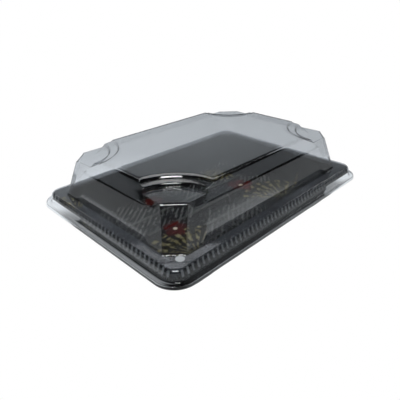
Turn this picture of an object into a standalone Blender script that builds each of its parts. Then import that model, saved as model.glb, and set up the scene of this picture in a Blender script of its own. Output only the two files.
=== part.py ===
"""Takeaway sushi tray: a black formed tray with a ribbed rim, and the clear lid that clips over it.

Both pieces are thin plastic sheets pressed into shape. Each is modelled as one open sheet, ring by
ring from its middle out to its free edge, and a Solidify modifier then gives it its thickness.
"""

import math

import bmesh
import bpy

MM = 0.001

# All sizes are in millimetres. A half size is (half length along X, half width along Y), the object
# is the same on both sides of both axes, and heights are above the surface that the feet stand on.

LID_WALL = 0.5
TRAY_WALL = 0.6

# Lid, from its top plate outwards. A scoop is a quarter-round step cut down into each top corner.
CROWN = (87.8, 55.8)
CROWN_Z = 68.6
PLATE = (91.3, 59.3)
PLATE_Z = 68.2
SCOOP_CENTRE = (97.0, 63.0)
CROWN_SCOOP = 44.3
PLATE_SCOOP = 40.3
STEP_SCOOP = 39.0
STEP_Z = 66.6
LEDGE_SCOOP = 32.6
LEDGE_Z = 66.3
SHELF_SCOOP = 31.5
SHELF_Z = 63.0
WALL_TOP = (100.2, 65.85)
WALL_TOP_Z = 58.6
WALL_TOP_END = (67.0, 34.0)
WALL_BASE = (104.2, 69.3)
WALL_BASE_END = (75.0, 41.0)
WALL_BASE_Z = 32.0
PILLAR_TOP = ((97.0, 37.0), (97.3, 51.2), (84.4, 62.9), (70.0, 63.0))
PILLAR_BASE = ((105.7, 46.0), (105.6, 60.7), (94.0, 70.9), (79.5, 71.0))
LID_LEDGE = (111.5, 79.3)
LID_LEDGE_RADIUS = 9.0
SHOULDER = (113.5, 81.0)
SHOULDER_RADIUS = 10.0
SHOULDER_Z = 31.4
SKIRT = (115.0, 82.3)
SKIRT_RADIUS = 12.0
SKIRT_Z = 24.0
FLANGE = (119.3, 86.3)
FLANGE_RADIUS = 17.2
FLANGE_Z = 23.0
LIP = (119.8, 86.8)
LIP_RADIUS = 17.5
LIP_Z = 22.2

# Tray, from its floor outwards. The channel round the floor sinks at the corners to form the feet.
FLOOR = (91.0, 61.0)
FLOOR_RADIUS = 11.0
FLOOR_Z = 3.0
CHANNEL_INNER = (93.0, 63.0)
CHANNEL_INNER_RADIUS = 13.0
CHANNEL_OUTER = (97.4, 68.0)
CHANNEL_OUTER_RADIUS = 16.0
CHANNEL_Z = 1.8
FOOT_Z = TRAY_WALL
FOOT_REACH = (68.0, 38.0)
FOOT_END = (64.0, 34.0)
WELL_FOOT = (98.3, 68.8)
WELL_FOOT_RADIUS = 16.6
WELL_FOOT_RISE = 1.0
WELL_TOP = (102.8, 70.4)
WELL_TOP_RADIUS = 15.0
WELL_TOP_Z = 30.2
RIM_INNER = (103.7, 71.3)
RIM_INNER_RADIUS = 14.0
RIM_OUTER = (110.8, 78.2)
RIM_OUTER_RADIUS = 8.0
RIM_Z = 31.1
RIB_TOP = (112.0, 79.2)
RIB_TOP_RADIUS = 8.0
RIB_TOP_Z = 30.6
RIB_BASE = (112.9, 80.1)
RIB_BASE_RADIUS = 8.5
RIB_BASE_Z = 27.4
RIB_PITCH = 4.6
RIB_DEPTH = 0.7
RIB_REACH = (96.6, 64.4)

# Stiffening bars pressed up out of the tray's floor, along X.
BAR_ROWS = (-22.5, 0.0, 22.5)
BAR_HALF_LENGTH = 73.0
BAR_HALF_WIDTH = 2.4
BAR_TOP_HALF_WIDTH = 1.5
BAR_HEIGHT = 1.2
BAR_END_STEPS = 4

CORNER_STEPS = 8
SIDE_STEPS = 2


def clear_scene():
    for item in list(bpy.data.objects):
        bpy.data.objects.remove(item)


def plastic(name, colour, roughness, alpha=1.0):
    """A glossy plastic: a Principled BSDF of one colour, see-through where alpha is below 1."""
    material = bpy.data.materials.new(name)
    material.use_nodes = True
    surface = material.node_tree.nodes["Principled BSDF"]
    surface.inputs["Base Color"].default_value = (*colour, 1.0)
    surface.inputs["Roughness"].default_value = roughness
    surface.inputs["Metallic"].default_value = 0.0
    surface.inputs["Alpha"].default_value = alpha
    return material


def straight(start, end, steps):
    """Points from start to end in equal steps, with both ends."""
    return [tuple(a + (b - a) * i / steps for a, b in zip(start, end)) for i in range(steps + 1)]


def arc(centre, radius, start, end, steps):
    """Points on an arc from the angle start to the angle end, both in radians, with both ends."""
    angles = [start + (end - start) * i / steps for i in range(steps + 1)]
    return [(centre[0] + radius * math.cos(a), centre[1] + radius * math.sin(a)) for a in angles]


def closed_ring(quarter):
    """The whole outline, from its quarter that runs from the X axis round to the Y axis."""
    half = quarter + [(-x, y, z) for x, y, z in reversed(quarter[:-1])]
    return half + [(x, -y, z) for x, y, z in reversed(half[1:-1])]


def scooped_ring(size, radius, z):
    """A level of the lid's top, whose straight sides end at an arc about the scoop's centre."""
    across_x = size[0] - SCOOP_CENTRE[0]
    across_y = size[1] - SCOOP_CENTRE[1]
    start = math.atan2(-math.sqrt(radius**2 - across_x**2), across_x)
    end = math.atan2(across_y, -math.sqrt(radius**2 - across_y**2))
    corner = arc(SCOOP_CENTRE, radius, start, end, CORNER_STEPS + 2 * SIDE_STEPS)
    side_x = [(size[0], 0.0), (size[0], corner[0][1] / 2)]
    side_y = [(corner[-1][0] / 2, size[1]), (0.0, size[1])]
    return [(x, y, z) for x, y in side_x + corner + side_y]


def pillar_ring(size, ends, pillar, z):
    """A level of the lid's wall: straight along the sides, and a chamfered pillar at the corner."""
    start, first_corner, second_corner, end = pillar
    side_x = [(size[0], 0.0), (size[0], ends[1])]
    side_y = [(ends[0], size[1]), (0.0, size[1])]
    first = straight(start, first_corner, SIDE_STEPS)
    middle = straight(first_corner, second_corner, CORNER_STEPS)
    last = straight(second_corner, end, SIDE_STEPS)
    return [(x, y, z) for x, y in side_x + first[:-1] + middle + last[1:] + side_y]


def pillar_at(z):
    """The pillar's outline at height z, between its top and its base."""
    share = (SHELF_Z - z) / (SHELF_Z - WALL_BASE_Z)
    return [
        tuple(t + (b - t) * share for t, b in zip(top, base))
        for top, base in zip(PILLAR_TOP, PILLAR_BASE)
    ]


def rounded_ring(size, radius, z):
    """A rounded rectangle with the same number of points as the lid's other levels."""
    turn = (size[0] - radius, size[1] - radius)
    side_x = [(size[0], 0.0), (size[0], WALL_BASE_END[1])]
    side_y = [(WALL_BASE_END[0], size[1]), (0.0, size[1])]
    first = straight((size[0], PILLAR_BASE[0][1]), (size[0], turn[1]), SIDE_STEPS)
    middle = arc(turn, radius, 0.0, math.pi / 2, CORNER_STEPS)
    last = straight((turn[0], size[1]), (PILLAR_BASE[-1][0], size[1]), SIDE_STEPS)
    return [(x, y, z) for x, y in side_x + first[:-1] + middle + last[1:] + side_y]


def band_size(z):
    """Half size of the sloping band round the plate at height z."""
    share = (PLATE_Z - z) / (PLATE_Z - WALL_TOP_Z)
    return tuple(p + (w - p) * share for p, w in zip(PLATE, WALL_TOP))


def footed_ring(size, radius, side_z, corner_z):
    """A rounded rectangle that drops from side_z to corner_z where the tray's feet are."""
    turn = (size[0] - radius, size[1] - radius)
    side_x = [(size[0], 0.0, side_z), (size[0], FOOT_END[1], side_z)]
    side_y = [(FOOT_END[0], size[1], side_z), (0.0, size[1], side_z)]
    corner = [(size[0], FOOT_REACH[1])] + arc(turn, radius, 0.0, math.pi / 2, CORNER_STEPS)
    corner += [(FOOT_REACH[0], size[1])]
    return side_x + [(x, y, corner_z) for x, y in corner] + side_y


def ribbed_side(length, reach):
    """Places along a side, from its middle to its end, as (distance, whether a groove is there)."""
    count = int(reach / RIB_PITCH)
    places = [(i * RIB_PITCH / 2, i % 2 == 1) for i in range(2 * count + 1)]
    return places + [(length, False)]


def ribbed_ring(size, radius, z):
    """A rounded rectangle with V grooves pressed in along its sides, which leave ribs between them."""
    turn = (size[0] - radius, size[1] - radius)
    side_x = [(size[0] - RIB_DEPTH * deep, y) for y, deep in ribbed_side(turn[1], RIB_REACH[1])]
    side_y = [(x, size[1] - RIB_DEPTH * deep) for x, deep in ribbed_side(turn[0], RIB_REACH[0])]
    corner = arc(turn, radius, 0.0, math.pi / 2, CORNER_STEPS)
    return [(x, y, z) for x, y in side_x + corner[1:-1] + side_y[::-1]]


def add_ring(bm, quarter):
    """Draws a closed outline and returns its vertices and edges, in order."""
    verts = [bm.verts.new((x * MM, y * MM, z * MM)) for x, y, z in closed_ring(quarter)]
    edges = [bm.edges.new((v, verts[(i + 1) % len(verts)])) for i, v in enumerate(verts)]
    return verts, edges


def grow_ring(bm, ring, quarter):
    """Extrudes a ring and moves its new vertices on to the next outline."""
    verts, edges = ring
    made = bmesh.ops.extrude_edge_only(bm, edges=edges)["geom"]
    new = {item for item in made if isinstance(item, bmesh.types.BMVert)}
    moved = []
    for vert, (x, y, z) in zip(verts, closed_ring(quarter)):
        twin = next(e.other_vert(vert) for e in vert.link_edges if e.other_vert(vert) in new)
        twin.co = (x * MM, y * MM, z * MM)
        moved.append(twin)
    following = moved[1:] + moved[:1]
    return moved, [bm.edges.get(pair) for pair in zip(moved, following)]


def fill_between(bm, rings):
    """Fills the sheet inside the first ring and outside the others."""
    edges = [edge for _, ring_edges in rings for edge in ring_edges]
    bmesh.ops.triangle_fill(bm, use_beauty=True, edges=edges, normal=(0.0, 0.0, 1.0))


def sheet_object(name, bm, wall, material):
    """Makes the finished object, whose thickness lies below and inside the modelled sheet."""
    bmesh.ops.remove_doubles(bm, verts=bm.verts, dist=0.01 * MM)
    bmesh.ops.recalc_face_normals(bm, faces=bm.faces)
    top = max(bm.faces, key=lambda face: face.calc_area())
    if top.normal.z < 0:
        bmesh.ops.reverse_faces(bm, faces=bm.faces)
    mesh = bpy.data.meshes.new(name)
    bm.to_mesh(mesh)
    bm.free()
    mesh.materials.append(material)
    item = bpy.data.objects.new(name, mesh)
    bpy.context.scene.collection.objects.link(item)
    solid = item.modifiers.new("wall", "SOLIDIFY")
    solid.thickness = wall * MM
    solid.offset = -1.0
    solid.use_even_offset = True
    return item


def lid_rings():
    """The lid's levels, from the flat of its top plate out to its free edge."""
    band = band_size(SHELF_Z)
    shelf = scooped_ring(band, SHELF_SCOOP, SHELF_Z)
    band_ends = (shelf[-2][0], shelf[1][1])
    shelf_edge = (shelf[2][:2], *PILLAR_TOP[1:-1], shelf[-3][:2])
    return [
        scooped_ring(CROWN, CROWN_SCOOP, CROWN_Z),
        scooped_ring(PLATE, PLATE_SCOOP, PLATE_Z),
        scooped_ring(band_size(STEP_Z), STEP_SCOOP, STEP_Z),
        scooped_ring(band_size(LEDGE_Z), LEDGE_SCOOP, LEDGE_Z),
        shelf,
        pillar_ring(band, band_ends, shelf_edge, SHELF_Z),
        pillar_ring(WALL_TOP, WALL_TOP_END, pillar_at(WALL_TOP_Z), WALL_TOP_Z),
        pillar_ring(WALL_BASE, WALL_BASE_END, PILLAR_BASE, WALL_BASE_Z),
        rounded_ring(LID_LEDGE, LID_LEDGE_RADIUS, WALL_BASE_Z),
        rounded_ring(SHOULDER, SHOULDER_RADIUS, SHOULDER_Z),
        rounded_ring(SKIRT, SKIRT_RADIUS, SKIRT_Z),
        rounded_ring(FLANGE, FLANGE_RADIUS, FLANGE_Z),
        rounded_ring(LIP, LIP_RADIUS, LIP_Z),
    ]


def build_lid(material):
    bm = bmesh.new()
    rings = lid_rings()
    ring = add_ring(bm, rings[0])
    bm.faces.new(ring[0])
    for quarter in rings[1:]:
        ring = grow_ring(bm, ring, quarter)
    return sheet_object("lid", bm, LID_WALL, material)


def bar_outline(bm, row, half_width, z):
    """One level of a floor bar: a long slot shape with round ends."""
    reach = BAR_HALF_LENGTH - half_width
    right = arc((reach, row), half_width, -math.pi / 2, math.pi / 2, BAR_END_STEPS)
    left = arc((-reach, row), half_width, math.pi / 2, 3 * math.pi / 2, BAR_END_STEPS)
    verts = [bm.verts.new((x * MM, y * MM, z * MM)) for x, y in right + left]
    edges = [bm.edges.new((v, verts[(i + 1) % len(verts)])) for i, v in enumerate(verts)]
    return verts, edges


def add_bar(bm, row):
    """Raises one bar and returns its foot, which the floor is filled round."""
    foot = bar_outline(bm, row, BAR_HALF_WIDTH, FLOOR_Z)
    top = bar_outline(bm, row, BAR_TOP_HALF_WIDTH, FLOOR_Z + BAR_HEIGHT)
    bmesh.ops.bridge_loops(bm, edges=foot[1] + top[1])
    bm.faces.new(top[0])
    return foot


def build_tray(material):
    bm = bmesh.new()
    foot_top = FOOT_Z + WELL_FOOT_RISE
    floor = add_ring(bm, footed_ring(FLOOR, FLOOR_RADIUS, FLOOR_Z, FLOOR_Z))
    fill_between(bm, [floor] + [add_bar(bm, row) for row in BAR_ROWS])
    levels = [
        footed_ring(CHANNEL_INNER, CHANNEL_INNER_RADIUS, CHANNEL_Z, FOOT_Z),
        footed_ring(CHANNEL_OUTER, CHANNEL_OUTER_RADIUS, CHANNEL_Z, FOOT_Z),
        footed_ring(WELL_FOOT, WELL_FOOT_RADIUS, CHANNEL_Z + WELL_FOOT_RISE, foot_top),
        footed_ring(WELL_TOP, WELL_TOP_RADIUS, WELL_TOP_Z, WELL_TOP_Z),
        footed_ring(RIM_INNER, RIM_INNER_RADIUS, RIM_Z, RIM_Z),
        footed_ring(RIM_OUTER, RIM_OUTER_RADIUS, RIM_Z, RIM_Z),
    ]
    ring = floor
    for quarter in levels:
        ring = grow_ring(bm, ring, quarter)
    ribs = add_ring(bm, ribbed_ring(RIB_TOP, RIB_TOP_RADIUS, RIB_TOP_Z))
    fill_between(bm, [ribs, ring])
    grow_ring(bm, ribs, ribbed_ring(RIB_BASE, RIB_BASE_RADIUS, RIB_BASE_Z))
    return sheet_object("tray", bm, TRAY_WALL, material)


clear_scene()
build_tray(plastic("black_plastic", (0.012, 0.013, 0.014), 0.22))
build_lid(plastic("clear_plastic", (0.72, 0.75, 0.77), 0.08, alpha=0.3))
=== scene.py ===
"""The finish of a takeaway sushi tray: a black tray with a printed floor, under its clear lid."""

import math

import bmesh
import bpy
from mathutils import Matrix, Vector


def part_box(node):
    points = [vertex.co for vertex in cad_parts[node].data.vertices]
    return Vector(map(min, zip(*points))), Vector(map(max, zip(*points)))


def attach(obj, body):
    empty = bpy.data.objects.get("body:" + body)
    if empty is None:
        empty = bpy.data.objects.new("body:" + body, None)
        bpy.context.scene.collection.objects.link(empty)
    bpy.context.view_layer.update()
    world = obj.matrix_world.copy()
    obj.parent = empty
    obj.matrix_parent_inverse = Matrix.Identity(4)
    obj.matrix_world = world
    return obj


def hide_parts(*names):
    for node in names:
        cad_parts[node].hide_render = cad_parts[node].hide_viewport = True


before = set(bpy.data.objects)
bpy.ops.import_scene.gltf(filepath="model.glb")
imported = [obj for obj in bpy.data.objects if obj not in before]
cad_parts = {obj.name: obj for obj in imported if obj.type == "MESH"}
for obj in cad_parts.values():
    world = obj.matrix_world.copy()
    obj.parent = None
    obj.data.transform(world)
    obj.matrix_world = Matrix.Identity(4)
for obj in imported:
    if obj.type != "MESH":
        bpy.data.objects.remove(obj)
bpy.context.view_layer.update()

# Every size below is in millimetres of the real tray, and MM turns it into the frame's metres.
LID_LENGTH = 239.6
LID_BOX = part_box("lid")
MM = (LID_BOX[1][0] - LID_BOX[0][0]) / LID_LENGTH

# The camera looks down at the tray's near left corner. Its angles are in degrees.
CAMERA_PLACE = (-232.1, -223.3, 182.3)
CAMERA_TURN = -44.71
CAMERA_DROP = 28.28
CAMERA_ROLL = -0.82
CAMERA_LENS = 35.53
CAMERA_SENSOR = 36.0
CAMERA_NEAR_END = 10.0

# Thickness of the two sheets.
LID_WALL = 0.4
TRAY_WALL = 0.5

# Lid, from its top plate outwards, as half sizes along X and Y and heights above the ground.
CROWN = (87.8, 55.8)
CROWN_Z = 68.6
PLATE = (91.3, 59.3)
PLATE_Z = 68.2
SCOOP_CENTRE = (97.0, 63.0)
CROWN_SCOOP = 44.3
PLATE_SCOOP = 40.3
STEP_SCOOP = 39.0
STEP_Z = 66.6
STEP_SIDE_Z = 64.4
LEDGE_SIDE_Z = 63.9
LEDGE_SCOOP = 32.6
LEDGE_Z = 66.1
SHELF_SCOOP = 31.5
SHELF_Z = 63.0
WALL_TOP = (100.2, 65.85)
WALL_TOP_Z = 58.6
WALL_TOP_END = (67.0, 34.0)
WALL_BASE = (104.2, 69.3)
WALL_BASE_END = (75.0, 41.0)
WALL_BASE_Z = 32.0
PILLAR_TOP = ((97.0, 37.0), (97.3, 51.2), (84.4, 62.9), (70.0, 63.0))
PILLAR_BASE = ((105.7, 46.0), (105.6, 60.7), (94.0, 70.9), (79.5, 71.0))
SHOULDER = (113.4, 80.1)
SHOULDER_RADIUS = 10.0
SKIRT = (115.0, 82.3)
SKIRT_RADIUS = 12.0
SKIRT_Z = 24.0
FLANGE = (119.3, 86.3)
FLANGE_RADIUS = 17.2
FLANGE_Z = 24.5
LIP = (119.8, 86.8)
LIP_RADIUS = 17.5
LIP_Z = 22.2

# Tray, from its floor outwards. The channel round the floor sinks at the corners to form the feet.
FLOOR = (91.0, 61.0)
FLOOR_RADIUS = 11.0
FLOOR_Z = 3.0
CHANNEL_INNER = (93.0, 63.0)
CHANNEL_INNER_RADIUS = 13.0
CHANNEL_OUTER = (97.4, 68.0)
CHANNEL_OUTER_RADIUS = 16.0
CHANNEL_Z = 1.8
FOOT_Z = 0.6
FOOT_REACH = (68.0, 38.0)
FOOT_END = (64.0, 34.0)
WELL_FOOT = (98.3, 68.8)
WELL_FOOT_RADIUS = 16.6
WELL_FOOT_RISE = 1.0
WELL_TOP = (102.8, 70.4)
WELL_TOP_RADIUS = 15.0
WELL_TOP_Z = 30.2
RIM_INNER = (103.7, 71.3)
RIM_INNER_RADIUS = 14.0
RIM_OUTER = (110.8, 78.2)
RIM_OUTER_RADIUS = 8.0
RIM_Z = 31.1
RIB_TOP = (112.0, 79.2)
RIB_TOP_RADIUS = 8.0
RIB_TOP_Z = 30.5
RIB_BASE = (112.9, 80.1)
RIB_BASE_RADIUS = 8.5
RIB_BASE_Z = 27.4
RIB_PITCH = 4.6
RIB_DEPTH = 1.3
RIB_STEPS = 8
RIB_REACH = (96.6, 64.4)
RIB_START_SHARE = 0.2
RIB_START_DROP = 0.5
RIB_END_DROP = 0.2
LIP_EDGE = (113.2, 80.5)
LIP_EDGE_RADIUS = 8.8
LIP_EDGE_Z = 26.8

# The round frosted mark on the lid's ledge.
MARK_PLACE = (-99.8, -71.0)
MARK_RADIUS = 3.1
MARK_RING = 0.8
MARK_RISE = 0.25
MARK_GAP = 0.2
MARK_WALL = 0.1
MARK_SEGMENTS = 40

# The raised bars on the tray's floor, which run along X.
BAR_ROWS = (-22.5, 0.0, 22.5)
BAR_HALF_LENGTH = 73.0
BAR_HALF_WIDTH = 2.4
BAR_TOP_HALF_WIDTH = 1.5
BAR_HEIGHT = 1.2
BAR_END_STEPS = 8

# Rounding of the lid's folds, each on its long straight edges, beside the corners and at them.
CROWN_FOLD = (0.7, 0.7, 0.9)
PLATE_FOLD = (2.7, 0.8, 0.8)
STEP_FOLD = (0.0, 0.0, 0.6)
LEDGE_FOLD = (0.0, 0.0, 1.2)
SHELF_FOLD = (0.0, 0.0, 0.9)
PILLAR_FOLD = (0.0, 0.0, 1.8)
WALL_TOP_FOLD = (3.2, 0.5, 0.5)
WALL_BASE_FOLD = (1.3, 0.8, 0.8)
SHOULDER_FOLD = (2.4, 2.4, 2.0)
SKIRT_FOLD = (1.0, 3.2, 0.8)
FLANGE_FOLD = (0.4, 0.4, 0.4)

# The same for the tray. Where a fold has no rounding of its own and is sharp, it gets the soft one.
WELL_FOOT_FOLD = (0.5, 0.5, 0.5)
WELL_TOP_FOLD = (0.4, 0.4, 0.4)
RIM_INNER_FOLD = (0.4, 0.4, 0.4)
NO_FOLD = (0.0, 0.0, 0.0)
SOFT_ROUNDING = 0.35
SHARP_FOLD = math.radians(14.0)

# A fold's rounding is kept in this layer, as a share of the widest one.
FOLD_LAYER = "bevel_weight_edge"
WIDEST_ROUNDING = 3.2
LID_ROUNDING_STEPS = 5
TRAY_ROUNDING_STEPS = 2
MERGE_DISTANCE = 0.01
FLAT_FACE_WEIGHT = 100

# Above the first length an edge is a side's, and below the second it is a corner's.
LONG_EDGE = 9.0
SHORT_EDGE = 4.5

# Points along an outline's corner and beside it, and how long the end of a straight side is.
CORNER_STEPS = 20
SIDE_STEPS = 4
SIDE_END = 8.0

# Colours of the plastic and its print. Places on the print are in plan, in millimetres.
INK = (0.003, 0.0033, 0.0039, 1.0)
# Silver for the printed strokes, and for the painted sheen on the bar tops.
STROKE_AND_SHEEN_SILVER = (0.052, 0.055, 0.052, 1.0)
# Painted highlight on the crests of the lip's ribs.
RIB_HIGHLIGHT = (0.100, 0.108, 0.113, 1.0)
# Painted sheen on the rim's flat.
RIM_SHEEN = (0.020, 0.022, 0.025, 1.0)
GOLD = (0.10, 0.09, 0.044, 1.0)
GOLD_SHADE = (0.010, 0.009, 0.005, 1.0)
RED = (0.042, 0.0035, 0.003, 1.0)
RED_SHADE = (0.017, 0.004, 0.003, 1.0)
PALE = (0.36, 0.34, 0.26, 1.0)
CLEAR_TINT = (0.90, 0.91, 0.93, 1.0)
LAMP_TINT = (0.9, 0.9, 0.9, 1.0)
FROST = (0.62, 0.66, 0.68, 1.0)
WHITE = (1.0, 1.0, 1.0, 1.0)

# Fans, each with its place in plan, the way it opens in degrees, and its radius.
FANS = (
    ((-60.0, -46.0), 90.0, 40.0),
    ((62.0, -42.0), 75.0, 40.0),
    ((-112.0, 34.0), 80.0, 28.0),
    ((70.0, 46.0), 200.0, 26.0),
)
# A fan's parts, as shares of its radius. Each pair runs from where a part is bare to where it is
# printed. FAN_OPEN is half the fan's angle, in radians, and the pleats are waves along it.
FAN_STICKS = (0.10, 0.14)
FAN_PAPER = (0.42, 0.45)
FAN_EDGE = (1.0, 0.97)
FAN_HEM = 0.84
FAN_HEM_WIDTH = (0.04, 0.02)
FAN_OPEN = (1.05, 1.01)
FAN_PLEATS = 22.0
PLEAT_LIGHT = (-0.6, 0.9)
STICK_EDGE = (0.2, 0.5)
FOIL_SCALE = 260.0
FOIL_EDGE = (0.40, 0.53)

# Blossoms, each with its place in plan and its radius, and their parts as shares of that radius.
BLOSSOMS = (((-48.0, -7.0), 11.0), ((54.0, 6.0), 13.0), ((-30.0, 44.0), 9.0))
BLOSSOM_TURN = 15.0
BLOSSOM_EDGE = (1.0, 0.95)
BLOSSOM_HEART = (0.75, 0.5)
BLOSSOM_EYE = (0.2, 0.14)
PETALS = 5
PETAL_NOTCH = 0.32
PETAL_GAP = (0.22, 0.38)

# Brush strokes, and painted highlights and sheen on crests. A scale is a noise's, in patches to the
# metre, and an edge is the pair of values between which it comes to show.
NOISE_DETAIL = 3.0
STROKE_SLANT = math.radians(38.0)
STROKE_PITCH = 4.2
STROKE_EDGE = (0.15, 0.65)
WANDER = 5.0
WANDER_SCALE = 30.0
DRIFT_SCALE = 24.0
DRIFT_TWIST = 0.6
DRIFT_EDGE = (0.48, 0.54)
BREAK_SCALE = 150.0
BREAK_EDGE = (0.40, 0.52)
FLECK_SCALE = 380.0
FLECK_DETAIL = 1.0
FLECK_EDGE = (0.63, 0.68)
FLECK_STRENGTH = 0.8
PRINT_MARGIN = 2.0
CREST_EDGE = (0.0, 0.7)
CREST_MARGIN = 0.3
BAR_END_FADE = 2.0
BAR_SHEEN_STRENGTH = 0.5

# The black plastic's gloss and its faint grain.
GLOSS = 0.20
GLOSS_CHANGE = 0.10
GLOSS_SCALE = 60.0
GRAIN_SCALE = 900.0
GRAIN_STRENGTH = 0.05
GRAIN_HEIGHT = 0.3

# Lamps, each with its azimuth and elevation in degrees, its size, and its radiance.
PANELS = (
    ("rear_strip", 45.0, 43.0, (1700.0, 90.0), 1.5),
    ("front_key", 225.0, 62.0, (420.0, 240.0), 20.0),
)
PANEL_DISTANCE = 1000.0

# The studio floor and the pool of light painted on it. Each pair runs from where the pool is dark
# to where it is lit. Front, back, left and right are as the camera sees them, from the tray's
# middle.
DIAGONAL = math.sqrt(0.5)
STUDIO_FLOOR = 12000.0
POOL_FRONT = (-190.0, -155.0)
POOL_FRONT_SHARE = 0.55
POOL_FAR_FRONT = (-520.0, -400.0)
POOL_LEFT = (-480.0, -350.0)
POOL_RIGHT = (540.0, 420.0)
POOL_BACK = (60.0, 150.0)
POOL_BACK_SHADE = 0.27

# Close by the tray the painted pool is brighter: its bounds there along X, along Y and to the right.
CLOSE_BY_X = (-176.0, -164.0)
CLOSE_BY_Y = (-185.0, -135.0)
CLOSE_BY_RIGHT = (200.0, 150.0)
CLOSE_BY_SHARE = 0.60

# Painted shadow of the tray, on a strip of the floor beside its right end and under and round its
# foot.
END_SHADE_X = ((102.0, 110.0), (150.0, 128.0))
END_SHADE_Y = ((110.0, 80.0), (-112.0, -98.0))
END_SHADE = 0.6
CONTACT_SHADE = (-1.0, 3.0)
CONTACT_SHARE = 0.4
FOOT_SHADE = (6.0, 40.0)
# The paper's colours out of and in the painted pool, and the glow that paints the pool's light.
FLOOR_DARK = (0.02, 0.02, 0.02, 1.0)
FLOOR_LIT = (0.44, 0.45, 0.46, 1.0)
NO_GLOW = (0.0, 0.0, 0.0, 1.0)
FLOOR_GLOW = (0.605, 0.635, 0.65, 1.0)

# The room's glows, behind the tray and on both sides of it. Each pair runs from where a glow is
# dark to where it is lit: how high a direction points, or how far back or aside, from 0 to 1.
ROOM_GLOW = 0.43
BEHIND_START = (0.0, 0.1)
BEHIND_ENDS = (0.50, 0.38)
BEHIND_FOOT = (0.08, 0.34)
BEHIND_TOP = (0.60, 0.44)
BEHIND_TOP_FALL = 0.35
SIDE_GLOW = 0.40
BESIDE_START = (0.60, 0.74)
BESIDE_FOOT = (0.22, 0.28)
BESIDE_TOP = (0.52, 0.46)
ROOM_DARK = 0.012
ROOM_COLOUR = (0.93, 1.0, 1.06, 1.0)


class Value:
    """A value in a material. Python's operators on it add the Math nodes that work it out.

    On masks, & keeps the smaller of two values, so both have to hold, and | keeps the larger.
    """

    def __init__(self, finish, socket):
        self.finish = finish
        self.socket = socket

    def math(self, operation, first, second=0.0):
        """One Math node."""
        return self.finish.node("ShaderNodeMath", {"operation": operation}, {0: first, 1: second})

    def __add__(self, other):
        return self.math("ADD", self, other)

    def __radd__(self, other):
        return self.math("ADD", other, self)

    def __sub__(self, other):
        return self.math("SUBTRACT", self, other)

    def __rsub__(self, other):
        return self.math("SUBTRACT", other, self)

    def __mul__(self, other):
        return self.math("MULTIPLY", self, other)

    def __rmul__(self, other):
        return self.math("MULTIPLY", other, self)

    def __truediv__(self, other):
        return self.math("DIVIDE", self, other)

    def __rtruediv__(self, other):
        return self.math("DIVIDE", other, self)

    def __and__(self, other):
        return self.math("MINIMUM", self, other)

    def __or__(self, other):
        return self.math("MAXIMUM", self, other)

    def __abs__(self):
        return self.math("ABSOLUTE", self)

    def root(self):
        """The square root."""
        return self.math("SQRT", self)

    def wave(self):
        """The sine."""
        return self.math("SINE", self)

    def angle(self, other):
        """The angle, in radians, of a point that lies this far across and the other value along."""
        return self.math("ARCTAN2", self, other)

    def ramp(self, start, end):
        """Rises smoothly from 0 to 1 as this value goes from start to end."""
        settings = {"interpolation_type": "SMOOTHSTEP"}
        return self.finish.node("ShaderNodeMapRange", settings, {0: self, 1: start, 2: end})

    def within(self, first, last):
        """1 between two bounds, each a pair that runs from where it is still 0 to where it is 1."""
        return self.ramp(*first) & self.ramp(*last)


class Finish:
    """A material, or the world, and the nodes that make it."""

    def __init__(self, owner, end="ShaderNodeOutputMaterial"):
        self.owner = owner
        owner.use_nodes = True
        self.tree = owner.node_tree
        self.tree.nodes.clear()
        self.output = self.tree.nodes.new(end)

    def node(self, kind, settings=None, values=None, output=0):
        """Adds a node. Its settings are set first, then its sockets are given values or links."""
        made = self.tree.nodes.new(kind)
        for name, setting in (settings or {}).items():
            setattr(made, name, setting)
        for name, value in (values or {}).items():
            if isinstance(value, Value):
                self.tree.links.new(value.socket, made.inputs[name])
            else:
                made.inputs[name].default_value = value
        return Value(self, made.outputs[output])

    def parts(self, coordinate):
        """The X, Y and Z of a texture coordinate."""
        spot = {0: self.node("ShaderNodeTexCoord", output=coordinate)}
        return [self.node("ShaderNodeSeparateXYZ", values=spot, output=axis) for axis in range(3)]

    def plan(self):
        """Where a point is in plan, in millimetres along X and Y."""
        x, y, _ = self.parts("Object")
        return x * (1.0 / MM), y * (1.0 / MM)

    def noise(self, scale, detail=NOISE_DETAIL, distortion=0.0):
        """Soft random values round 0.5, with scale patches to the metre."""
        spot = self.node("ShaderNodeTexCoord", output="Object")
        values = {"Vector": spot, "Scale": scale, "Detail": detail, "Distortion": distortion}
        return self.node("ShaderNodeTexNoise", values=values)

    def blend(self, share, under, over):
        """One colour over another, as strongly as share says."""
        settings = {"data_type": "RGBA"}
        return self.node("ShaderNodeMix", settings, {0: share, 6: under, 7: over}, output=2)

    def choose(self, share, first, second):
        """One surface, or the other where share is 1."""
        return self.node("ShaderNodeMixShader", values={0: share, 1: first, 2: second})

    def white_to_camera(self, kind, surface):
        """The surface, but plain white where the camera looks straight at it."""
        white = self.node(kind, values={"Color": WHITE, "Strength": 1.0})
        plain_view = self.node("ShaderNodeLightPath", output="Is Camera Ray")
        return self.choose(plain_view, surface, white)

    def show(self, surface):
        """Ends the nodes with this surface and returns the material, or the world."""
        self.tree.links.new(surface.socket, self.output.inputs["Surface"])
        return self.owner


def straight(start, end, steps):
    """Points from start to end in equal steps, with both ends."""
    return [tuple(a + (b - a) * i / steps for a, b in zip(start, end)) for i in range(steps + 1)]


def arc(centre, radius, start, end, steps):
    """Points on an arc from the angle start to the angle end, both in radians, with both ends."""
    angles = [start + (end - start) * i / steps for i in range(steps + 1)]
    return [(centre[0] + radius * math.cos(a), centre[1] + radius * math.sin(a)) for a in angles]


def closed_ring(quarter):
    """The whole outline, from its quarter that runs from the X axis round to the Y axis."""
    half = quarter + [(-x, y, z) for x, y, z in reversed(quarter[:-1])]
    return half + [(x, -y, z) for x, y, z in reversed(half[1:-1])]


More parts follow.
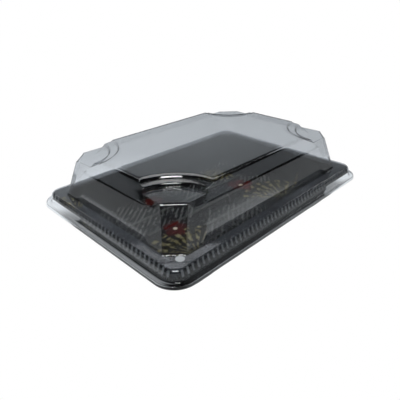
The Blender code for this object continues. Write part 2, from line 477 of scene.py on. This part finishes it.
def scooped_ring(size, radius, z, side_z=None):
    """A level of the lid's top: straight sides, which may run lower, and an arc round the scoop."""
    across_x = size[0] - SCOOP_CENTRE[0]
    across_y = size[1] - SCOOP_CENTRE[1]
    start = math.atan2(-math.sqrt(radius**2 - across_x**2), across_x)
    end = math.atan2(across_y, -math.sqrt(radius**2 - across_y**2))
    corner = arc(SCOOP_CENTRE, radius, start, end, CORNER_STEPS + 2 * SIDE_STEPS)
    side = band_size(side_z) if side_z else size
    side_z = side_z or z
    side_x = [(side[0], 0.0, side_z), (side[0], corner[0][1] - SIDE_END, side_z)]
    side_y = [(corner[-1][0] - SIDE_END, side[1], side_z), (0.0, side[1], side_z)]
    return side_x + [(x, y, z) for x, y in corner] + side_y


def pillar_ring(size, ends, pillar, z):
    """A level of the lid's wall: straight along the sides, and a chamfered pillar at the corner."""
    start, first_corner, second_corner, end = pillar
    side_x = [(size[0], 0.0), (size[0], ends[1])]
    side_y = [(ends[0], size[1]), (0.0, size[1])]
    first = straight(start, first_corner, SIDE_STEPS)
    middle = straight(first_corner, second_corner, CORNER_STEPS)
    last = straight(second_corner, end, SIDE_STEPS)
    return [(x, y, z) for x, y in side_x + first[:-1] + middle + last[1:] + side_y]


def between(top, base, z):
    """Outline points at height z, between the pillar's top and its base."""
    share = (SHELF_Z - z) / (SHELF_Z - WALL_BASE_Z)
    return [tuple(t + (b - t) * share for t, b in zip(a, c)) for a, c in zip(top, base)]


def rounded_ring(size, radius, z):
    """A rounded rectangle with the same number of points as the lid's other levels."""
    turn = (size[0] - radius, size[1] - radius)
    side_x = [(size[0], 0.0), (size[0], WALL_BASE_END[1])]
    side_y = [(WALL_BASE_END[0], size[1]), (0.0, size[1])]
    first = straight((size[0], PILLAR_BASE[0][1]), (size[0], turn[1]), SIDE_STEPS)
    middle = arc(turn, radius, 0.0, math.pi / 2, CORNER_STEPS)
    last = straight((turn[0], size[1]), (PILLAR_BASE[-1][0], size[1]), SIDE_STEPS)
    return [(x, y, z) for x, y in side_x + first[:-1] + middle + last[1:] + side_y]


def band_size(z):
    """Half size of the sloping band round the plate at height z."""
    share = (PLATE_Z - z) / (PLATE_Z - WALL_TOP_Z)
    return tuple(p + (w - p) * share for p, w in zip(PLATE, WALL_TOP))


def draw_loop(bm, points):
    """Draws a closed outline and returns its vertices and edges, in order."""
    verts = [bm.verts.new((x * MM, y * MM, z * MM)) for x, y, z in points]
    edges = [bm.edges.new((v, verts[(i + 1) % len(verts)])) for i, v in enumerate(verts)]
    return verts, edges


def grow_ring(bm, ring, quarter):
    """Extrudes a ring and moves its new vertices on to the next outline."""
    verts, edges = ring
    made = bmesh.ops.extrude_edge_only(bm, edges=edges)["geom"]
    new = {item for item in made if isinstance(item, bmesh.types.BMVert)}
    moved = []
    for vert, (x, y, z) in zip(verts, closed_ring(quarter)):
        twin = next(e.other_vert(vert) for e in vert.link_edges if e.other_vert(vert) in new)
        twin.co = (x * MM, y * MM, z * MM)
        moved.append(twin)
    following = moved[1:] + moved[:1]
    return moved, [bm.edges.get(pair) for pair in zip(moved, following)]


def round_off(ring, weight, fold):
    """Marks a ring's fold to be rounded, by the fold's sizes for long, middling and short edges."""
    along_sides, beside_corners, at_corners = fold
    for edge in ring[1]:
        length = edge.calc_length() / MM
        if length > LONG_EDGE:
            rounding = along_sides
        elif length > SHORT_EDGE:
            rounding = beside_corners
        else:
            rounding = at_corners
        edge[weight] = rounding / WIDEST_ROUNDING


def grow_levels(bm, ring, weight, levels):
    """Grows the sheet through its levels, each an outline and the rounding of its fold."""
    for quarter, fold in levels:
        ring = grow_ring(bm, ring, quarter)
        round_off(ring, weight, fold)
    return ring


def soften_folds(bm, weight):
    """Gives every fold that has no rounding of its own a small one."""
    for edge in bm.edges:
        if len(edge.link_faces) == 2 and edge[weight] == 0 and edge.calc_face_angle() > SHARP_FOLD:
            edge[weight] = SOFT_ROUNDING / WIDEST_ROUNDING


def made_object(name, bm, material):
    """Ends the modelling and puts the mesh into the scene."""
    mesh = bpy.data.meshes.new(name)
    bm.to_mesh(mesh)
    bm.free()
    mesh.materials.append(material)
    item = bpy.data.objects.new(name, mesh)
    bpy.context.scene.collection.objects.link(item)
    return item


def add_wall(piece, wall):
    """Gives a sheet its thickness, below and inside the modelled surface."""
    solid = piece.modifiers.new("wall", "SOLIDIFY")
    solid.thickness = wall * MM
    solid.offset = -1.0


def sheet_piece(name, bm, wall, steps, material, node):
    """Makes the finished piece, with its largest face looking up, its folds rounded and its wall."""
    bmesh.ops.remove_doubles(bm, verts=bm.verts, dist=MERGE_DISTANCE * MM)
    soften_folds(bm, bm.edges.layers.float[FOLD_LAYER])
    bmesh.ops.recalc_face_normals(bm, faces=bm.faces)
    largest = max(bm.faces, key=lambda face: face.calc_area())
    if largest.normal.z < 0:
        bmesh.ops.reverse_faces(bm, faces=bm.faces)
    for face in bm.faces:
        face.smooth = True
    piece = made_object(name, bm, material)
    rounded = piece.modifiers.new("rounded folds", "BEVEL")
    rounded.limit_method = "WEIGHT"
    rounded.offset_type = "OFFSET"
    rounded.width = WIDEST_ROUNDING * MM
    rounded.segments = steps
    rounded.use_clamp_overlap = False
    add_wall(piece, wall)
    even = piece.modifiers.new("flat faces stay flat", "WEIGHTED_NORMAL")
    even.weight = FLAT_FACE_WEIGHT
    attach(piece, "root")
    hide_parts(node)
    return piece


def lid_levels():
    """The lid's levels and the rounding of each fold, from its flat plate to its free edge.

    The shelf's outline comes twice: as the scoop's last step, and as the pillar's top edge.
    """
    band = band_size(SHELF_Z)
    shelf = scooped_ring(band, SHELF_SCOOP, SHELF_Z)
    band_ends = (shelf[-2][0], shelf[1][1])
    shelf_edge = (shelf[2][:2], *PILLAR_TOP[1:-1], shelf[-3][:2])
    wall_top = between(PILLAR_TOP, PILLAR_BASE, WALL_TOP_Z)
    step = scooped_ring(band_size(STEP_Z), STEP_SCOOP, STEP_Z, STEP_SIDE_Z)
    ledge = scooped_ring(band_size(LEDGE_Z), LEDGE_SCOOP, LEDGE_Z, LEDGE_SIDE_Z)
    return [
        (scooped_ring(CROWN, CROWN_SCOOP, CROWN_Z), CROWN_FOLD),
        (scooped_ring(PLATE, PLATE_SCOOP, PLATE_Z), PLATE_FOLD),
        (step, STEP_FOLD),
        (ledge, LEDGE_FOLD),
        (shelf, SHELF_FOLD),
        (pillar_ring(band, band_ends, shelf_edge, SHELF_Z), PILLAR_FOLD),
        (pillar_ring(WALL_TOP, WALL_TOP_END, wall_top, WALL_TOP_Z), WALL_TOP_FOLD),
        (pillar_ring(WALL_BASE, WALL_BASE_END, PILLAR_BASE, WALL_BASE_Z), WALL_BASE_FOLD),
        (rounded_ring(SHOULDER, SHOULDER_RADIUS, WALL_BASE_Z), SHOULDER_FOLD),
        (rounded_ring(SKIRT, SKIRT_RADIUS, SKIRT_Z), SKIRT_FOLD),
        (rounded_ring(FLANGE, FLANGE_RADIUS, FLANGE_Z), FLANGE_FOLD),
        (rounded_ring(LIP, LIP_RADIUS, LIP_Z), NO_FOLD),
    ]


def footed_ring(size, radius, side_z, corner_z):
    """A rounded rectangle that drops from side_z to corner_z where the tray's feet are."""
    turn = (size[0] - radius, size[1] - radius)
    side_x = [(size[0], 0.0, side_z), (size[0], FOOT_END[1], side_z)]
    side_y = [(FOOT_END[0], size[1], side_z), (0.0, size[1], side_z)]
    corner = [(size[0], FOOT_REACH[1])] + arc(turn, radius, 0.0, math.pi / 2, CORNER_STEPS)
    corner += [(FOOT_REACH[0], size[1])]
    return side_x + [(x, y, corner_z) for x, y in corner] + side_y


def ribbed_side(length, reach):
    """Places along a side, from its middle to its end, each with how deep the groove is there."""
    count = int(reach / RIB_PITCH) * RIB_STEPS
    step = RIB_PITCH / RIB_STEPS
    waves = [(i * step, (1 - math.cos(2 * math.pi * i / RIB_STEPS)) / 2) for i in range(count + 1)]
    return waves + [(length, 0.0)]


def ribbed_ring(size, radius, z, depth):
    """A rounded rectangle with grooves pressed in along its sides, and ribs between them."""
    turn = (size[0] - radius, size[1] - radius)
    side_x = [(size[0] - depth * share, y) for y, share in ribbed_side(turn[1], RIB_REACH[1])]
    side_y = [(x, size[1] - depth * share) for x, share in ribbed_side(turn[0], RIB_REACH[0])]
    corner = arc(turn, radius, 0.0, math.pi / 2, CORNER_STEPS)
    return [(x, y, z) for x, y in side_x + corner[1:-1] + side_y[::-1]]


def fill_between(bm, rings):
    """Fills the sheet inside the first ring and outside the others."""
    edges = [edge for _, ring_edges in rings for edge in ring_edges]
    bmesh.ops.triangle_fill(bm, use_beauty=True, edges=edges, normal=(0.0, 0.0, 1.0))


def bar_outline(bm, row, half_width, z):
    """One level of a floor bar: a long slot shape with round ends."""
    reach = BAR_HALF_LENGTH - half_width
    right = arc((reach, row), half_width, -math.pi / 2, math.pi / 2, BAR_END_STEPS)
    left = arc((-reach, row), half_width, math.pi / 2, 3 * math.pi / 2, BAR_END_STEPS)
    return draw_loop(bm, [(x, y, z) for x, y in right + left])


def add_bar(bm, row):
    """Raises one bar and returns its foot, which the floor is filled round."""
    foot = bar_outline(bm, row, BAR_HALF_WIDTH, FLOOR_Z)
    top = bar_outline(bm, row, BAR_TOP_HALF_WIDTH, FLOOR_Z + BAR_HEIGHT)
    bmesh.ops.bridge_loops(bm, edges=foot[1] + top[1])
    bm.faces.new(top[0])
    return foot


def build_tray(material):
    """The black tray, from its floor with the bars out to the rim, and then its ribbed lip."""
    bm = bmesh.new()
    weight = bm.edges.layers.float.new(FOLD_LAYER)
    foot_top = FOOT_Z + WELL_FOOT_RISE
    floor = draw_loop(bm, closed_ring(footed_ring(FLOOR, FLOOR_RADIUS, FLOOR_Z, FLOOR_Z)))
    fill_between(bm, [floor] + [add_bar(bm, row) for row in BAR_ROWS])
    well_foot = footed_ring(WELL_FOOT, WELL_FOOT_RADIUS, CHANNEL_Z + WELL_FOOT_RISE, foot_top)
    levels = [
        (footed_ring(CHANNEL_INNER, CHANNEL_INNER_RADIUS, CHANNEL_Z, FOOT_Z), NO_FOLD),
        (footed_ring(CHANNEL_OUTER, CHANNEL_OUTER_RADIUS, CHANNEL_Z, FOOT_Z), NO_FOLD),
        (well_foot, WELL_FOOT_FOLD),
        (footed_ring(WELL_TOP, WELL_TOP_RADIUS, WELL_TOP_Z, WELL_TOP_Z), WELL_TOP_FOLD),
        (footed_ring(RIM_INNER, RIM_INNER_RADIUS, RIM_Z, RIM_Z), RIM_INNER_FOLD),
        (footed_ring(RIM_OUTER, RIM_OUTER_RADIUS, RIM_Z, RIM_Z), NO_FOLD),
    ]
    rim = grow_levels(bm, floor, weight, levels)
    lip = draw_loop(bm, closed_ring(ribbed_ring(RIB_TOP, RIB_TOP_RADIUS, RIB_TOP_Z, 0.0)))
    fill_between(bm, [lip, rim])
    upper = tuple(a + (b - a) * RIB_START_SHARE for a, b in zip(RIB_TOP, RIB_BASE))
    for quarter in (
        ribbed_ring(upper, RIB_TOP_RADIUS, RIB_TOP_Z - RIB_START_DROP, RIB_DEPTH),
        ribbed_ring(RIB_BASE, RIB_BASE_RADIUS, RIB_BASE_Z, RIB_DEPTH),
        ribbed_ring(RIB_BASE, RIB_BASE_RADIUS, RIB_BASE_Z - RIB_END_DROP, 0.0),
        ribbed_ring(LIP_EDGE, LIP_EDGE_RADIUS, LIP_EDGE_Z, 0.0),
    ):
        lip = grow_ring(bm, lip, quarter)
    steps = TRAY_ROUNDING_STEPS
    return sheet_piece("black_tray", bm, TRAY_WALL, steps, material, "tray")


def build_lid(material):
    """The clear lid, from its flat plate down to the free edge of its lip."""
    bm = bmesh.new()
    weight = bm.edges.layers.float.new(FOLD_LAYER)
    (crown, crown_fold), *levels = lid_levels()
    ring = draw_loop(bm, closed_ring(crown))
    bm.faces.new(ring[0])
    round_off(ring, weight, crown_fold)
    grow_levels(bm, ring, weight, levels)
    steps = LID_ROUNDING_STEPS
    return sheet_piece("clear_lid", bm, LID_WALL, steps, material, "lid")


def build_mark(material):
    """A small round frosted mark pressed into the lid beside its near corner."""
    bm = bmesh.new()
    bmesh.ops.create_circle(bm, cap_ends=True, segments=MARK_SEGMENTS, radius=MARK_RADIUS * MM)
    disc = bm.faces[:]
    for rise in (MARK_RISE, -MARK_RISE):
        bmesh.ops.inset_region(bm, faces=disc, thickness=MARK_RING * MM, depth=rise * MM)
    place = Vector((*MARK_PLACE, WALL_BASE_Z + MARK_GAP))
    bmesh.ops.translate(bm, verts=bm.verts, vec=place * MM)
    piece = made_object("pressed_mark", bm, material)
    add_wall(piece, MARK_WALL)
    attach(piece, "root")
    return piece


def frosted_plastic():
    """The same sheet, frosted by the press."""
    finish = Finish(bpy.data.materials.new("frosted_plastic"))
    values = {"Base Color": FROST, "Roughness": 0.45, "Alpha": 0.6}
    return finish.show(finish.node("ShaderNodeBsdfPrincipled", values=values))


def clear_plastic():
    """Clear formed sheet with a grey tint. It lets lamps through, so that the tray below is lit."""
    finish = Finish(bpy.data.materials.new("clear_plastic"))
    values = {
        "Base Color": CLEAR_TINT,
        "Roughness": 0.03,
        "IOR": 1.5,
        "Transmission Weight": 1.0,
    }
    sheet = finish.node("ShaderNodeBsdfPrincipled", values=values)
    open_to_lamps = finish.node("ShaderNodeBsdfTransparent", values={"Color": LAMP_TINT})
    lamps = finish.node("ShaderNodeLightPath", output="Is Shadow Ray")
    return finish.show(finish.choose(lamps, sheet, open_to_lamps))


def motif_place(x, y, centre, degrees, radius):
    """Where a point is on a motif: how far out, as a share of its radius, and at which angle."""
    angle = math.radians(degrees)
    dx = x - centre[0]
    dy = y - centre[1]
    along = dx * math.cos(angle) + dy * math.sin(angle)
    across = dy * math.cos(angle) - dx * math.sin(angle)
    away = (along * along + across * across).root()
    return away / radius, across.angle(along)


def fan(finish, x, y, centre, degrees, radius, ground):
    """A folding fan: pleated paper between two arcs, over thin sticks."""
    away, bearing = motif_place(x, y, centre, degrees, radius)
    spread = abs(bearing).ramp(*FAN_OPEN)
    past_sticks = away.ramp(*FAN_PAPER)
    paper = past_sticks & away.ramp(*FAN_EDGE) & spread
    pleats = (bearing * FAN_PLEATS).wave()
    sticks = away.ramp(*FAN_STICKS) & (1.0 - past_sticks) & spread & pleats.ramp(*STICK_EDGE)
    hem = abs(away - FAN_HEM).ramp(*FAN_HEM_WIDTH)
    foil = pleats.ramp(*PLEAT_LIGHT) & finish.noise(FOIL_SCALE).ramp(*FOIL_EDGE)
    gold = finish.blend(foil, GOLD_SHADE, GOLD)
    gold = finish.blend(hem, gold, INK)
    return finish.blend(paper | sticks, ground, gold)


def blossom(finish, x, y, centre, radius, ground):
    """A five-petalled flower with a pale eye."""
    away, bearing = motif_place(x, y, centre, BLOSSOM_TURN, radius)
    petals = abs((bearing * (PETALS / 2)).wave())
    edge = away / (1.0 - PETAL_NOTCH + PETAL_NOTCH * petals)
    flower = edge.ramp(*BLOSSOM_EDGE)
    gaps = petals.ramp(*PETAL_GAP) | away.ramp(*BLOSSOM_HEART)
    red = finish.blend(gaps, RED_SHADE, RED)
    eye = away.ramp(*BLOSSOM_EYE)
    return finish.blend(flower, ground, finish.blend(eye, red, PALE))


def brush_strokes(finish, x, y):
    """How strongly grey strokes cover the sheet: slanted dashes in drifts, and loose flecks."""
    wander = finish.noise(WANDER_SCALE) * WANDER
    slant = x * math.sin(STROKE_SLANT) - y * math.cos(STROKE_SLANT) + wander
    dash = (slant * (2 * math.pi / STROKE_PITCH)).wave().ramp(*STROKE_EDGE)
    drift = finish.noise(DRIFT_SCALE, distortion=DRIFT_TWIST).ramp(*DRIFT_EDGE)
    broken = finish.noise(BREAK_SCALE).ramp(*BREAK_EDGE)
    flecks = finish.noise(FLECK_SCALE, detail=FLECK_DETAIL).ramp(*FLECK_EDGE)
    return (dash & drift & broken) | flecks * FLECK_STRENGTH


def painted_rib_highlights(x, y):
    """Where a highlight is painted on the crests of the ribs round the tray's lip."""
    turns = 2 * math.pi / RIB_PITCH
    past_end = abs(x).ramp(RIM_OUTER[0], RIB_TOP[0] - CREST_MARGIN)
    past_side = abs(y).ramp(RIM_OUTER[1], RIB_TOP[1] - CREST_MARGIN)
    on_end = past_end & (y * turns + math.pi / 2).wave().ramp(*CREST_EDGE)
    on_side = past_side & (x * turns + math.pi / 2).wave().ramp(*CREST_EDGE)
    return on_end | on_side


def painted_rim_sheen(x, y):
    """The rim's flat, with a painted sheen that makes it a little paler than the well."""
    past_well = abs(x).ramp(WELL_TOP[0], RIM_INNER[0]) | abs(y).ramp(WELL_TOP[1], RIM_INNER[1])
    before_end = abs(x).ramp(RIB_TOP[0], RIM_OUTER[0])
    before_side = abs(y).ramp(RIB_TOP[1], RIM_OUTER[1])
    return past_well & before_end & before_side


def painted_bar_sheen(x, y):
    """Where a painted sheen makes the tops of the floor bars paler."""
    across = abs(y) & abs(abs(y) - BAR_ROWS[-1])
    on_top = across.ramp(BAR_HALF_WIDTH, BAR_TOP_HALF_WIDTH)
    return on_top & abs(x).ramp(BAR_HALF_LENGTH, BAR_HALF_LENGTH - BAR_END_FADE)


def printed_black_plastic():
    """Black plastic with a print of the builder's own drawing: fans, blossoms and brush strokes."""
    finish = Finish(bpy.data.materials.new("printed_black_plastic"))
    x, y = finish.plan()
    margin_x = abs(x).ramp(FLOOR[0] + PRINT_MARGIN, FLOOR[0])
    margin_y = abs(y).ramp(FLOOR[1] + PRINT_MARGIN, FLOOR[1])
    strokes = brush_strokes(finish, x, y) & (margin_x & margin_y)
    colour = finish.blend(strokes, INK, STROKE_AND_SHEEN_SILVER)
    # Painted sheen on the tops of the floor bars.
    colour = finish.blend(painted_bar_sheen(x, y) * BAR_SHEEN_STRENGTH, colour, STROKE_AND_SHEEN_SILVER)
    # Painted sheen on the rim's flat.
    colour = finish.blend(painted_rim_sheen(x, y), colour, RIM_SHEEN)
    # Painted highlights on the ribs' crests.
    colour = finish.blend(painted_rib_highlights(x, y), colour, RIB_HIGHLIGHT)
    for centre, degrees, radius in FANS:
        colour = fan(finish, x, y, centre, degrees, radius, colour)
    for centre, radius in BLOSSOMS:
        colour = blossom(finish, x, y, centre, radius, colour)
    grain = {
        "Height": finish.noise(GRAIN_SCALE),
        "Strength": GRAIN_STRENGTH,
        "Distance": GRAIN_HEIGHT * MM,
    }
    values = {
        "Base Color": colour,
        "Roughness": finish.noise(GLOSS_SCALE) * GLOSS_CHANGE + GLOSS,
        "Specular IOR Level": 0.25,
        "Normal": finish.node("ShaderNodeBump", values=grain),
    }
    return finish.show(finish.node("ShaderNodeBsdfPrincipled", values=values))


def place_camera():
    """Places the camera before the tray's near corner, looking down on it."""
    camera = bpy.data.cameras.new("camera")
    camera.lens = CAMERA_LENS
    camera.sensor_width = CAMERA_SENSOR
    camera.clip_start = CAMERA_NEAR_END * MM
    item = bpy.data.objects.new("camera", camera)
    turn = Matrix.Rotation(math.radians(CAMERA_TURN), 4, "Z")
    drop = Matrix.Rotation(math.radians(90.0 - CAMERA_DROP), 4, "X")
    roll = Matrix.Rotation(math.radians(CAMERA_ROLL), 4, "Z")
    place = Matrix.Translation([c * MM for c in CAMERA_PLACE])
    item.matrix_world = place @ turn @ drop @ roll
    bpy.context.scene.collection.objects.link(item)
    bpy.context.scene.camera = item


def add_panel(name, azimuth, elevation, size, radiance):
    """A soft rectangular panel of light that faces the tray and that the camera doesn't see."""
    light = bpy.data.lights.new(name, "AREA")
    light.shape = "RECTANGLE"
    light.size = size[0] * MM
    light.size_y = size[1] * MM
    light.energy = radiance * math.pi * light.size * light.size_y
    item = bpy.data.objects.new(name, light)
    turn = Matrix.Rotation(math.radians(azimuth), 4, "Z")
    lift = Matrix.Rotation(math.radians(-elevation), 4, "Y")
    away = Matrix.Translation((PANEL_DISTANCE * MM, 0.0, 0.0))
    face = Matrix.Rotation(math.radians(90.0), 4, "Y")
    spin = Matrix.Rotation(math.radians(90.0), 4, "Z")
    item.matrix_world = turn @ lift @ away @ face @ spin
    item.visible_camera = False
    bpy.context.scene.collection.objects.link(item)


def floor_paper():
    """Pale paper with a painted pool of light and shadow, white where the camera looks straight at
    it.
    """
    finish = Finish(bpy.data.materials.new("floor_paper"))
    x, y = finish.plan()
    back = (x + y) * DIAGONAL
    right = (x - y) * DIAGONAL
    # The pool of light is painted. It fades towards the front, towards the sides and behind the
    # tray.
    front = back.ramp(*POOL_FRONT) * POOL_FRONT_SHARE
    front = front + back.ramp(*POOL_FAR_FRONT) * (1.0 - POOL_FRONT_SHARE)
    close_by = x.ramp(*CLOSE_BY_X) & y.ramp(*CLOSE_BY_Y) & right.ramp(*CLOSE_BY_RIGHT)
    # Painted shadow under and round the tray's foot, and in a strip beside its right end.
    clear = (abs(x) - WELL_FOOT[0]) | (abs(y) - WELL_FOOT[1])
    out_of_painted_shadow = clear.ramp(*CONTACT_SHADE) * CONTACT_SHARE
    out_of_painted_shadow = out_of_painted_shadow + clear.ramp(*FOOT_SHADE) * (1.0 - CONTACT_SHARE)
    painted_end_shadow = x.within(*END_SHADE_X) & y.within(*END_SHADE_Y)
    painted_pool = front & right.within(POOL_LEFT, POOL_RIGHT)
    painted_pool = painted_pool & (close_by * CLOSE_BY_SHARE + (1.0 - CLOSE_BY_SHARE)) & out_of_painted_shadow
    painted_pool = painted_pool & (1.0 - back.ramp(*POOL_BACK) * POOL_BACK_SHADE)
    painted_pool = painted_pool & (1.0 - painted_end_shadow * END_SHADE)
    values = {
        "Base Color": finish.blend(painted_pool, FLOOR_DARK, FLOOR_LIT),
        "Roughness": 0.9,
        "Specular IOR Level": 0.1,
        "Emission Color": finish.blend(painted_pool, NO_GLOW, FLOOR_GLOW),
        "Emission Strength": 1.0,
    }
    paper = finish.node("ShaderNodeBsdfPrincipled", values=values)
    return finish.show(finish.white_to_camera("ShaderNodeEmission", paper))


def build_floor():
    """The studio's floor, a flat square far larger than the tray."""
    bm = bmesh.new()
    bmesh.ops.create_grid(bm, x_segments=1, y_segments=1, size=STUDIO_FLOOR * MM / 2)
    item = made_object("floor", bm, floor_paper())


def build_room():
    """A dark room with soft glows behind the tray and beside it, and white to the camera itself."""
    finish = Finish(bpy.data.worlds.new("studio"), "ShaderNodeOutputWorld")
    x, y, z = finish.parts("Generated")
    right = (x - y) * DIAGONAL
    to_right = right | 0.0
    aside = abs(right)
    top = (z + to_right * BEHIND_TOP_FALL).ramp(*BEHIND_TOP)
    behind = (x + y).ramp(*BEHIND_START) & aside.ramp(*BEHIND_ENDS) & top & z.ramp(*BEHIND_FOOT)
    behind = behind * (1.0 - to_right)
    beside = aside.ramp(*BESIDE_START) & z.within(BESIDE_FOOT, BESIDE_TOP)
    glow = behind * ROOM_GLOW + beside * SIDE_GLOW + ROOM_DARK
    room = finish.node("ShaderNodeBackground", values={"Color": ROOM_COLOUR, "Strength": glow})
    shown = finish.white_to_camera("ShaderNodeBackground", room)
    bpy.context.scene.world = finish.show(shown)


def build_stage():
    """A pale floor in a dark room, with a long lamp behind the tray and a soft one above it."""
    build_floor()
    build_room()
    for lamp in PANELS:
        add_panel(*lamp)


scene = bpy.context.scene
scene.view_settings.view_transform = "Standard"
place_camera()
build_stage()
build_lid(clear_plastic())
build_mark(frosted_plastic())
build_tray(printed_black_plastic())
